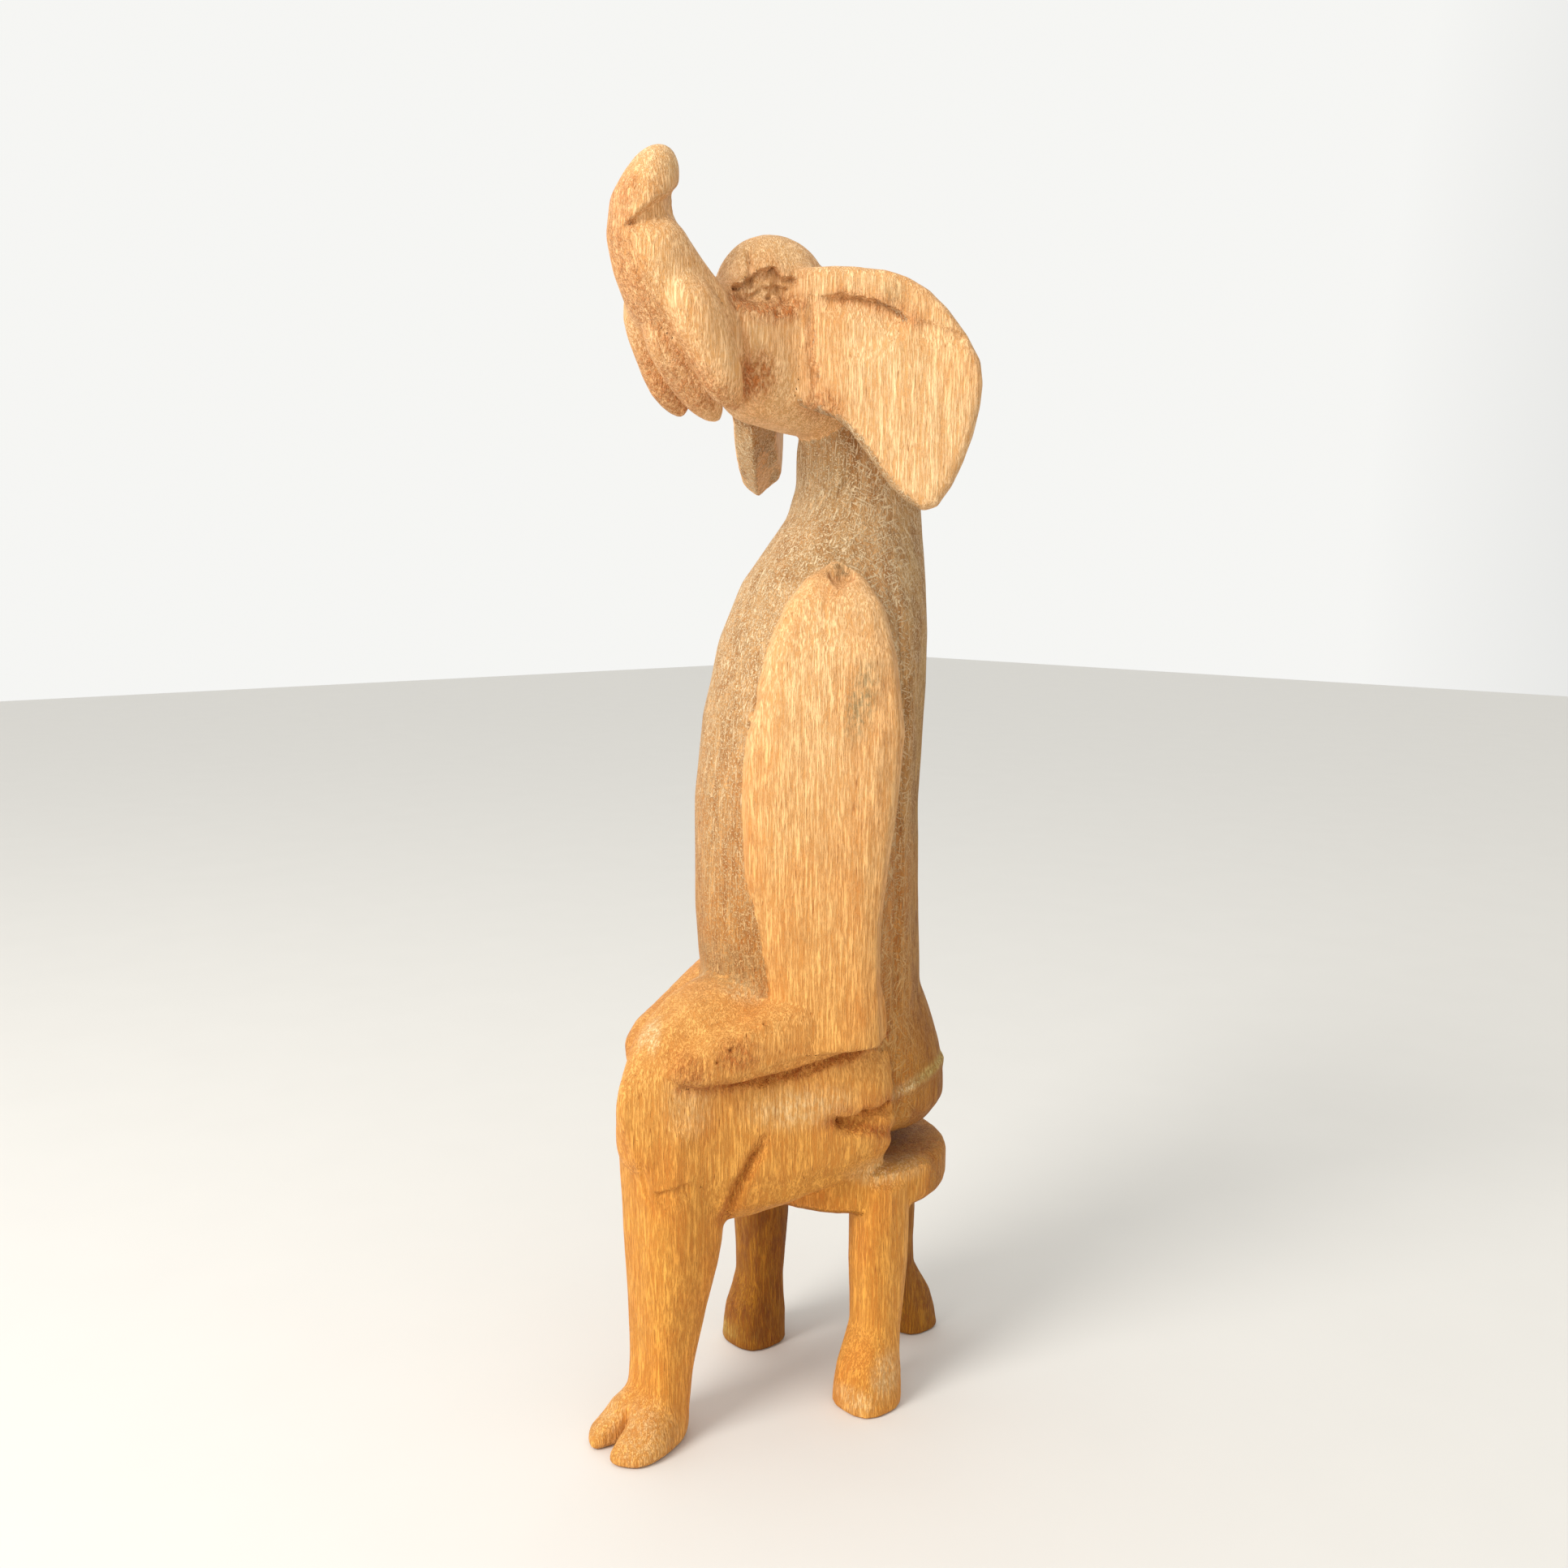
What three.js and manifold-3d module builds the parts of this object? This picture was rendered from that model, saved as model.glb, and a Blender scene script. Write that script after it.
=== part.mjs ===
// Carved wooden elephant, in millimetres, +Z up.
// A tall, slim elephant sits upright on a round stool with three flared legs. Its trunk is raised,
// its arms hang at its sides with the hands laid along the thighs, and its feet stand side by side.
// The figure faces -Y and its own left side is +X. Every named mesh is one carved piece of the figure.
import * as THREE from 'three';
import { mergeVertices } from 'three/addons/utils/BufferGeometryUtils.js';
import Module from 'manifold-3d';

const GAP = 0.3; // clear space between two pieces that touch
const SLIVER = 0.03; // details smaller than this are left over from a cut
const BEYOND = 300; // a cutting block reaches this far, well past the whole figure
const SEAT_RADIUS = 34;
const SEAT_UNDERSIDE = 63;
const SEAT_TOP = 78;
const SEAT_ROUNDING = 4; // radius of the seat's upper and lower edges
// Each leg's middle at the seat, its foot's middle on the floor, both in X and Y, and its thickness.
const STOOL_LEGS = {
  left: { top: [26, -8], foot: [28, -15], thickness: 17 },
  right: { top: [-26, -14], foot: [-28, -16], thickness: 17 },
  back: { top: [0, 22], foot: [0, 32.5], thickness: 14 },
};
const SHIN_Y = -70; // the elephant's shins stand this far in front of the stool's centre
const KNEE_CREASE = [-57, 70]; // the thighs meet the shins at a plane through here, in Y and Z
const KNEE_SLOPE = THREE.MathUtils.degToRad(44); // which rises towards the kneecaps at this slope
const TOE_CLEFT = 5; // width of the notch between the two feet at the toes
const TOE_CLEFT_Y = -81; // the notch starts here and opens towards the toes
const TOE_CLEFT_HEIGHT = 17;
// Each ear's angle back from straight out, how much its tip is lifted, and its thickness.
const EARS = {
  left: { sweep: 45, lift: 0, thickness: 9 },
  right: { sweep: 45.5, lift: 6, thickness: 13 },
};
const ARM_AXIS = -13; // the arms are turned about an upright axis through the torso, at this Y
const ARMS = { left: 42, right: -10 }; // degrees that each arm is turned forward of its own side
const EAR_ROOT = [14.5, -27.5]; // where the left ear leaves the side of the head, in X and Y

const LIGHT_WOOD = 0xd9a566;
const DARK_WOOD = 0xa08055;

const wasm = await Module();
wasm.setup();

// ---- helpers: solids from three.js geometry, and the cuts between neighbours ----

function toSolid(geometry) {
  const bare = geometry.clone();
  bare.deleteAttribute('normal');
  bare.deleteAttribute('uv');
  const merged = mergeVertices(bare, 1e-4);
  const vertProperties = new Float32Array(merged.attributes.position.array);
  const triVerts = new Uint32Array(merged.index.array);
  return new wasm.Manifold(new wasm.Mesh({ numProp: 3, vertProperties, triVerts }));
}

function toGeometry(solid) {
  const { vertProperties, triVerts } = solid.getMesh();
  const geometry = new THREE.BufferGeometry();
  geometry.setAttribute('position', new THREE.BufferAttribute(vertProperties, 3));
  geometry.setIndex(new THREE.BufferAttribute(triVerts, 1));
  geometry.computeVertexNormals();
  return geometry;
}

// A closed loft: a cylinder bent along a curve through its stations. Each station is
// [x, y, z, half width, half depth]; the width lies along X, the depth across both X and the curve.
// square is the section's exponent, 2 for an ellipse and more for a squarer one. start and end are
// how far a rounded tip covers the curve's ends, as a share of its length. grow swells it all over.
function loft({ stations, square = 2, sides = 20, rings = 12, start = 0, end = 0 }, grow = 0) {
  const spine = new THREE.CatmullRomCurve3(stations.map(([x, y, z]) => new THREE.Vector3(x, y, z)));
  const sizes = new THREE.CatmullRomCurve3(stations.map(([, , , a, b]) => new THREE.Vector3(a, b, 0)));
  const geometry = new THREE.CylinderGeometry(1, 1, 1, sides, rings);
  const position = geometry.attributes.position;
  const vertex = new THREE.Vector3();
  const across = new THREE.Vector3();
  const deep = new THREE.Vector3();
  for (let i = 0; i < position.count; i += 1) {
    vertex.fromBufferAttribute(position, i);
    // rings crowd towards a rounded tip, so that it stays round
    const along = vertex.y + 0.5;
    const crowded = 0.5 - 0.5 * Math.cos(Math.PI * along);
    const t = start || end ? THREE.MathUtils.lerp(along, crowded, 0.6) : along;
    const middle = spine.getPoint(t);
    const tangent = spine.getTangent(t);
    const size = sizes.getPoint(t);
    const taper = tip(t, start) * tip(1 - t, end);
    across.set(1, 0, 0).addScaledVector(tangent, -tangent.x).normalize();
    deep.crossVectors(across, tangent);
    const round = (Math.abs(vertex.x) ** square + Math.abs(vertex.z) ** square) ** (1 / square) || 1;
    const radius = Math.hypot(vertex.x, vertex.z) / round;
    middle.addScaledVector(tangent, (along < 1e-6 ? -grow : 0) + (along > 1 - 1e-6 ? grow : 0));
    middle.addScaledVector(across, vertex.x * radius * (size.x * taper + grow));
    middle.addScaledVector(deep, vertex.z * radius * (size.y * taper + grow));
    position.setXYZ(i, middle.x, middle.y, middle.z);
  }
  return toSolid(geometry);
}

// The share of the full section at distance t from an end that is rounded over the length given.
function tip(t, length) {
  if (length === 0 || t >= length) return 1;
  return Math.max(Math.sqrt(1 - (1 - t / length) ** 2), 0.12);
}

function box([x0, y0, z0], [x1, y1, z1]) {
  const geometry = new THREE.BoxGeometry(x1 - x0, y1 - y0, z1 - z0);
  return toSolid(geometry.translate((x0 + x1) / 2, (y0 + y1) / 2, (z0 + z1) / 2));
}

function mirrorSolid(solid) {
  const geometry = toGeometry(solid).scale(-1, 1, 1);
  const index = geometry.index.array;
  for (let i = 0; i < index.length; i += 3) [index[i], index[i + 1]] = [index[i + 1], index[i]];
  return toSolid(geometry);
}

// The left half of a middle form with its own mirror image, so that both sides fit the paired pieces.
// The halves share a thin slice at the middle, so that they join.
function symmetric(solid) {
  const half = solid.intersect(box([-SLIVER, -BEYOND, -BEYOND], [BEYOND, BEYOND, 2 * BEYOND]));
  return half.add(mirrorSolid(half)).asOriginal().simplify(SLIVER);
}

const cutBy = (solid, ...cutters) => cutters.reduce((left, cutter) => left.subtract(cutter), solid);
const isLeft = (side) => side === 'left';
const leftHalf = (solid) => solid.intersect(box([GAP / 2, -BEYOND, 0], [BEYOND, BEYOND, 2 * BEYOND]));
const onFloor = (solid) => cutBy(solid, box([-BEYOND, -BEYOND, -BEYOND], [BEYOND, BEYOND, 0]));

// ---- the shapes, each as a function of how far it is grown ----

// The seat is a thick disc with rounded edges.
function seat(grow = 0) {
  const profile = new THREE.Path();
  const middle = SEAT_RADIUS - SEAT_ROUNDING;
  const rounding = SEAT_ROUNDING + grow;
  profile.moveTo(0, SEAT_UNDERSIDE - grow);
  profile.lineTo(middle, SEAT_UNDERSIDE - grow);
  profile.absarc(middle, SEAT_UNDERSIDE + SEAT_ROUNDING, rounding, -Math.PI / 2, 0);
  profile.absarc(middle, SEAT_TOP - SEAT_ROUNDING, rounding, 0, Math.PI / 2);
  profile.lineTo(0, SEAT_TOP + grow);
  return toSolid(new THREE.LatheGeometry(profile.getPoints(4), 32).rotateX(Math.PI / 2));
}

// A stool leg is straight and squarish, with a foot that flares out and away from the seat's middle.
function stoolLeg({ top, foot, thickness }) {
  const half = thickness / 2;
  const place = (share) => top.map((value, i) => THREE.MathUtils.lerp(value, foot[i], share));
  return onFloor(loft({
    square: 3,
    sides: 16,
    rings: 10,
    stations: [
      [...place(0), 72, half, half],
      [...place(0.1), 46, half, half],
      [...place(0.25), 25, half - 0.8, half - 1.2],
      [...place(0.75), 12, half + 0.5, half + 1],
      [...foot, 0, half + 1.5, half + 1.2],
      [...foot, -8, half, half],
    ],
  }));
}

const torso = (grow) => symmetric(loft({
  square: 2.2,
  sides: 28,
  rings: 13,
  stations: [
    [0, -9, 84, 29, 31],
    [0, -15, 140, 32, 36.5],
    [0, -16, 190, 32, 36],
    [0, -12.5, 222, 31.5, 35],
    [0, -5.8, 248, 29, 31.5],
    [0, 1.5, 268, 22.5, 25],
    [0, 4.5, 284, 18.5, 20],
    [0, 4.5, 303, 18, 19.5],
    [0, 2, 316, 14, 16],
    [0, -3, 324, 7, 9],
  ],
}, grow));

const pelvis = (grow) => symmetric(loft({
  square: 2.2,
  sides: 28,
  rings: 8,
  start: 0.4,
  stations: [
    [0, 0, 80, 31, 31],
    [0, 0, 92, 32, 32.5],
    [0, -2, 104, 32, 32.5],
    [0, -10, 126, 30, 32],
  ],
}, grow));

// Both thighs as one mass, wide at the hips and narrow at the knees.
const thighs = (grow) => symmetric(loft({
  square: 3.6,
  sides: 24,
  rings: 10,
  end: 0.25,
  stations: [
    [0, -9, 100, 33.5, 24],
    [0, -16, 99.5, 34.5, 26],
    [0, -36, 101, 28, 34],
    [0, -58, 103.5, 18, 37],
    [0, -88.5, 110, 14, 31],
  ],
}, grow));

// Both shins as one mass, down to the ankles.
const shins = (grow) => symmetric(loft({
  square: 3,
  sides: 24,
  rings: 12,
  stations: [
    [0, SHIN_Y - 1, 100, 14, 14.5],
    [0, SHIN_Y, 64, 14, 13.8],
    [0, SHIN_Y - 2.5, 42, 12, 10.5],
    [0, SHIN_Y - 5, 22, 10.5, 8],
    [0, SHIN_Y - 7, 4, 10, 8],
  ],
}, grow));

// Both feet as one mass, from the heels to the toes.
const feet = (grow) => symmetric(loft({
  square: 2.6,
  sides: 20,
  rings: 8,
  start: 0.2,
  end: 0.25,
  stations: [
    [0, SHIN_Y + 3, 4, 8, 7],
    [0, SHIN_Y - 8, 5, 11.5, 14],
    [0, SHIN_Y - 18, 1, 14, 8.5],
    [0, SHIN_Y - 29, 0, 12.5, 4.5],
  ],
}, grow));

// An arm as it would hang straight out at the left side, before it is turned forward on the torso.
function arm(forward, grow) {
  const hanging = loft({
    square: 3.5,
    sides: 20,
    rings: 10,
    start: 0.2,
    stations: [
      [25, 7, 266, 9, 11],
      [28, 6, 246, 11, 17.5],
      [30, 3.5, 212, 11, 23.5],
      [30, 1, 180, 11, 22],
      [30, 3, 150, 11, 17.5],
      [30, 5, 121, 11, 16.5],
    ],
  }, grow);
  const turned = toGeometry(hanging).rotateZ(THREE.MathUtils.degToRad(-forward));
  return toSolid(turned.translate(0, ARM_AXIS, 0));
}

const hand = (grow) => loft({
  square: 3,
  sides: 16,
  rings: 8,
  end: 0.2,
  stations: [
    [28, -14, 131, 11, 12],
    [23.5, -30, 129, 11, 12],
    [16, -56, 122, 9, 9.5],
    [9.5, -79, 117, 6.5, 7],
  ],
}, grow);

// The head is a block with flat cheeks, and the forehead is a dome on it.
function head(grow) {
  const block = loft({
    square: 2.6,
    sides: 24,
    rings: 12,
    start: 0.25,
    end: 0.3,
    stations: [
      [0, -62, 335, 9, 9],
      [0, -50, 333, 13.5, 15],
      [0, -35, 330, 15, 24],
      [0, -18, 329, 15.5, 25.5],
      [0, 2, 321, 16, 21],
      [0, 20, 314, 13, 16],
    ],
  }, grow);
  const dome = new THREE.SphereGeometry(1, 20, 12).rotateX(Math.PI / 2);
  dome.scale(14.5 + grow, 20 + grow, 20 + grow).translate(0, -30, 341.5);
  return symmetric(block.add(toSolid(dome)));
}

const trunk = (grow) => symmetric(loft({
  square: 2.3,
  sides: 18,
  rings: 13,
  end: 0.16,
  stations: [
    [0, -49, 325, 11, 10],
    [0, -60, 333, 13.5, 13],
    [0, -71.8, 346, 12.5, 11.5],
    [0, -77.3, 360, 9.5, 9],
    [0, -73, 371, 7.5, 7],
    [0, -68, 380, 5.5, 5],
  ],
}, grow));

const tusk = (grow) => loft({
  sides: 16,
  rings: 10,
  start: 0.35,
  end: 0.3,
  stations: [
    [9, -74, 345, 5, 6],
    [11, -67, 334, 6.5, 8],
    [12.5, -60, 320, 6, 7.5],
    [13, -54, 308, 4.5, 5.5],
  ],
}, grow);

const lowerLip = (grow) => symmetric(loft({
  sides: 16,
  rings: 10,
  start: 0.35,
  end: 0.3,
  stations: [
    [0, -74, 338, 4, 4],
    [0, -69, 328, 6.5, 6.5],
    [0, -60, 317, 6.5, 6.5],
    [0, -50.5, 306.5, 5, 5.5],
  ],
}, grow));

// The ear's outline, flat: first the distance out from the head, then the height. lift raises its tip.
function earShape(lift) {
  const outline = [
    [-4, 350], [8, 350.5], [24, 348.5], [37, 341], [48.5, 325], [49.5, 311],
    [44.5, 294 + lift / 2], [36, 281 + lift], [26, 285 + lift], [16.5, 297], [8, 307], [-4, 311],
  ];
  const curve = new THREE.SplineCurve(outline.map(([u, v]) => new THREE.Vector2(u, v)));
  return new THREE.Shape(curve.getPoints(outline.length * 2));
}

function ear({ sweep, lift, thickness }) {
  const bevel = thickness / 3;
  const geometry = new THREE.ExtrudeGeometry(earShape(lift), {
    depth: thickness - 2 * bevel,
    bevelThickness: bevel,
    bevelSize: bevel,
    bevelOffset: -bevel,
    bevelSegments: 2,
  });
  geometry.translate(0, 0, -thickness / 2 + bevel);
  geometry.rotateX(Math.PI / 2).rotateZ(THREE.MathUtils.degToRad(sweep));
  return toSolid(geometry.translate(EAR_ROOT[0], EAR_ROOT[1], 0));
}

// ---- the pieces: each shape cut clear of the neighbours that it meets ----

// A cut can leave crumbs beside the piece and slivers on it. Only the largest part is the piece,
// and its slivers are merged away.
function tidied(solid) {
  const [piece] = solid.decompose().sort((a, b) => b.volume() - a.volume());
  return piece.asOriginal().simplify(SLIVER);
}

// A block that fills the space above the knees' plane, for +1, or below it, for -1.
function besideKneePlane(side) {
  const block = new THREE.BoxGeometry(BEYOND, BEYOND, BEYOND);
  block.translate(0, 0, side * (BEYOND + GAP) / 2);
  return toSolid(block.rotateX(-KNEE_SLOPE).translate(0, ...KNEE_CREASE));
}

const toeNotch = loft({
  square: 4,
  sides: 8,
  rings: 2,
  stations: [
    [0, TOE_CLEFT_Y, 0, 0.4, TOE_CLEFT_HEIGHT],
    [0, TOE_CLEFT_Y - 12, 0, TOE_CLEFT / 2, TOE_CLEFT_HEIGHT],
    [0, TOE_CLEFT_Y - 24, 0, TOE_CLEFT, TOE_CLEFT_HEIGHT],
  ],
});

const body = {};
body.stool_seat = seat();
body.torso = cutBy(torso(0), pelvis(GAP), thighs(GAP), head(GAP));
body.pelvis = cutBy(pelvis(0), seat(GAP), thighs(GAP));
body.head = head(0);
body.trunk = cutBy(trunk(0), head(GAP), tusk(GAP), mirrorSolid(tusk(GAP)), lowerLip(GAP));
body.lower_lip = cutBy(lowerLip(0), head(GAP), tusk(GAP), mirrorSolid(tusk(GAP)));

Object.entries(STOOL_LEGS).forEach(([side, leg]) => {
  body[`stool_leg_${side}`] = cutBy(stoolLeg(leg), seat(GAP));
});

// The pieces that come in pairs: the right one is the left one mirrored. The legs are one mass
// down to the floor, parted between the two sides, at the knees and between the toes.
const legs = leftHalf(cutBy(onFloor(shins(0).add(feet(0)).add(thighs(0))), seat(GAP), toeNotch));
const pairs = {
  thigh: legs.intersect(besideKneePlane(1)),
  shin: legs.intersect(besideKneePlane(-1)),
  tusk: cutBy(tusk(0), head(GAP)),
};
Object.entries(pairs).forEach(([name, solid]) => {
  body[`left_${name}`] = solid;
  body[`right_${name}`] = mirrorSolid(solid);
});

// The arms, hands and ears differ a little from side to side, so each is cut for its own side.
['left', 'right'].forEach((side) => {
  const sided = {
    arm: cutBy(arm(ARMS[side], 0), torso(GAP), thighs(GAP), pelvis(GAP)),
    hand: cutBy(hand(0), torso(GAP), thighs(GAP), arm(ARMS[side], GAP)),
    ear: cutBy(ear(EARS[side]), head(GAP), torso(GAP)),
  };
  Object.entries(sided).forEach(([name, solid]) => {
    body[`${side}_${name}`] = isLeft(side) ? solid : mirrorSolid(solid);
  });
});

// ---- the scene graph ----

const DARK_PIECES = ['torso', 'pelvis', 'stool_seat', 'stool_leg_back', 'stool_leg_right'];

const figure = new THREE.Group();
Object.entries(body).forEach(([name, solid]) => {
  const color = DARK_PIECES.includes(name) ? DARK_WOOD : LIGHT_WOOD;
  const material = new THREE.MeshStandardMaterial({ color, roughness: 0.6, metalness: 0 });
  const mesh = new THREE.Mesh(toGeometry(tidied(solid)), material);
  mesh.name = name;
  figure.add(mesh);
});

// The origin is the middle of the figure's footprint, on the floor.
const extent = new THREE.Box3().setFromObject(figure);
const centre = extent.getCenter(new THREE.Vector3());
figure.position.set(-centre.x, -centre.y, -extent.min.z);

const elephant = new THREE.Group();
elephant.add(figure);
export default elephant;
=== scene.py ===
"""A seated elephant carved in wood, with its stool: the fine surface, the wood and the studio.

The CAD nodes give the masses. They are read into one field of signed distances, softened as a
knife would leave them, cut with the smaller carved features, and turned back into one closed
mesh for each node. The pieces meet exactly, so the figure looks like one piece of wood.
Lengths are in millimetres in the figure's own frame until the meshes are made.
"""

import itertools
import math

import bpy
import numpy as np
import openvdb as vdb
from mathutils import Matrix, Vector


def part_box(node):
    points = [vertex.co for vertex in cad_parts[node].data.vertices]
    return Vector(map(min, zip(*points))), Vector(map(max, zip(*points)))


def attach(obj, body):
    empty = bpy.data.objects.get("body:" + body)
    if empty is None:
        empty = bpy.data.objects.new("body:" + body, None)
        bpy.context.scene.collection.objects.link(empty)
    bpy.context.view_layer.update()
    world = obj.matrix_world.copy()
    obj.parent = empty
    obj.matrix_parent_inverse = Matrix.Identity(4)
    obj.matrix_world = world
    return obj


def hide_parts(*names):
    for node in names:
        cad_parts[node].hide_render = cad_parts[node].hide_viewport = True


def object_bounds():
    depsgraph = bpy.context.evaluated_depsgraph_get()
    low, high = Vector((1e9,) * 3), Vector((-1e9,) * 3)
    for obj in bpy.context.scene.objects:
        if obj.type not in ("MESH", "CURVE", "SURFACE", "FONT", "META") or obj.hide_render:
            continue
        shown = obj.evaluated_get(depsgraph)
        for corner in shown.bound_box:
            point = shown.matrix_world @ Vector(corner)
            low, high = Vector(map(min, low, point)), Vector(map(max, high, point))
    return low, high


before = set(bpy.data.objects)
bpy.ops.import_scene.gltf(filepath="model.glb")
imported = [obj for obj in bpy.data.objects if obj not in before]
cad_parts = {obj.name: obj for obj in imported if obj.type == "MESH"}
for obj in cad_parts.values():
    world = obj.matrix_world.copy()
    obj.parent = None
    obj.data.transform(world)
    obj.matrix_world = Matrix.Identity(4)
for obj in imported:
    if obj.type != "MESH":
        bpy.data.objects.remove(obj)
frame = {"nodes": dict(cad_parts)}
cad_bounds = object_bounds()

# ---------------------------------------------------------------- driving values

MM = 0.001
SEAT_LOW, SEAT_HIGH = (np.array(corner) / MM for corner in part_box("stool_seat"))
FIGURE_ORIGIN = (SEAT_LOW + SEAT_HIGH) / 2 * np.array([1, 1, 0])  # under the seat's middle
CAD_BOX = [np.array(corner) / MM - FIGURE_ORIGIN for corner in cad_bounds]
VOXEL = 0.65
BAND_VOXELS = 9  # distances are kept this many voxels either side of the surface
BAND = VOXEL * BAND_VOXELS
GAP_CLOSING = 0.8  # closes the gaps of 0.3 mm and more between the CAD solids
BORDER = 6.0  # empty margin round the figure
TIP_RECOVERY = 0.75  # share of a softened tip's loss that is given back
KERNEL_REACH = 2.5  # a blur reaches this many times its sigma

CARVED_SOFTENING = 0.75  # rounding of every edge
BODY_SOFTENING = 1.7  # rounding of the organic masses
BODY_NODES = ("torso", "pelvis", "head", "trunk", "left_thigh", "right_thigh",
              "left_shin", "right_shin")
WEATHERED_NODES = ("torso", "pelvis", "stool_seat", "stool_leg_right", "stool_leg_back")
# painted shade: these two stool legs stand in the shade under the seat and are darkened for it
SHADED_STOOL_LEGS = ("stool_leg_right", "stool_leg_back")

LEFT = np.array([1.0, 0.0, 0.0])
FRONT = np.array([0.0, -1.0, 0.0])
UP = np.array([0.0, 0.0, 1.0])


def unit(vector):
    vector = np.asarray(vector, float)
    return vector / np.linalg.norm(vector)


FRONT_LEFT = unit(LEFT + FRONT)
CAMERA_SIDE = unit((0.77, -0.64, 0.0))


def smoothstep(low, high, value):
    t = np.clip((value - low) / (high - low), 0.0, 1.0)
    return t * t * (3.0 - 2.0 * t)


def mirrored(points):
    """The same points, or direction, on the figure's right side."""
    return np.asarray(points, float) * np.array([-1.0, 1.0, 1.0])


# ---------------------------------------------------------------- noise

def lattice_value(corner, seed):
    """A repeatable random value from -1 to 1 for each lattice corner."""
    x, y, z = (corner[..., axis].astype(np.uint32) for axis in range(3))
    mixed = x * np.uint32(374761393) + y * np.uint32(668265263) + z * np.uint32(2147483647)
    mixed = mixed + np.uint32(seed * 144665)
    mixed = (mixed ^ (mixed >> np.uint32(13))) * np.uint32(1274126177)
    mixed = mixed ^ (mixed >> np.uint32(16))
    return (mixed & np.uint32(0xFFFF)).astype(np.float32) / 32767.5 - 1.0


def noise(points, size, seed):
    """Smooth noise from -1 to 1 with lumps of a size, which may differ along x, y and z."""
    cell = np.asarray(points, np.float32) / np.asarray(size, np.float32)
    corner = np.floor(cell)
    t = cell - corner
    t = t * t * (3.0 - 2.0 * t)
    corner = corner.astype(np.int64)
    total = np.zeros(cell.shape[:-1], np.float32)
    for step in itertools.product((0, 1), repeat=3):
        weight = np.ones(cell.shape[:-1], np.float32)
        for axis, bit in enumerate(step):
            weight = weight * (t[..., axis] if bit else 1.0 - t[..., axis])
        total += weight * lattice_value(corner + np.array(step), seed)
    return total


# ---------------------------------------------------------------- the field of distances

def node_mesh(obj):
    """A CAD node's points, in millimetres in the figure's frame, and its triangles."""
    mesh = obj.data
    mesh.calc_loop_triangles()
    points = np.empty(len(mesh.vertices) * 3, np.float32)
    mesh.vertices.foreach_get("co", points)
    triangles = np.empty(len(mesh.loop_triangles) * 3, np.int32)
    mesh.loop_triangles.foreach_get("vertices", triangles)
    points = points.reshape(-1, 3) / MM - FIGURE_ORIGIN
    return points.astype(np.float32), triangles.reshape(-1, 3).astype(np.uint32)


def level_set(points, triangles):
    transform = vdb.createLinearTransform(voxelSize=VOXEL)
    return vdb.FloatGrid.createLevelSetFromPolygons(
        points, triangles=triangles, transform=transform, halfWidth=BAND_VOXELS)


def joined(meshes):
    """Several meshes as one."""
    points, triangles, count = [], [], 0
    for part_points, part_triangles in meshes:
        points.append(part_points)
        triangles.append(part_triangles + count)
        count += len(part_points)
    return np.concatenate(points), np.concatenate(triangles).astype(np.uint32)


def halved(quads):
    """Quads as triangles."""
    return np.concatenate([quads[:, [0, 1, 2]], quads[:, [0, 2, 3]]]).astype(np.uint32)


def dense(grid, low, shape):
    values = np.empty(shape, np.float32)
    grid.copyToArray(values, ijk=tuple(int(i) for i in low))
    return values


def blurred(values, sigma):
    """A Gaussian blur of a grid of values, over sigma millimetres."""
    radius = int(math.ceil(KERNEL_REACH * sigma / VOXEL))
    offsets = np.arange(-radius, radius + 1)
    kernel = np.exp(-0.5 * (offsets * VOXEL / sigma) ** 2)
    kernel /= kernel.sum()
    for axis in range(3):
        total = np.zeros_like(values)
        for offset, weight in zip(offsets, kernel):
            total += np.float32(weight) * np.roll(values, int(offset), axis)
        values = total
    return values


def softened(values, sigma):
    """Blurs a field of distances, and gives back most of what that takes off the tips."""
    once = blurred(values, sigma)
    return once + TIP_RECOVERY * (once - blurred(once, sigma))


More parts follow.
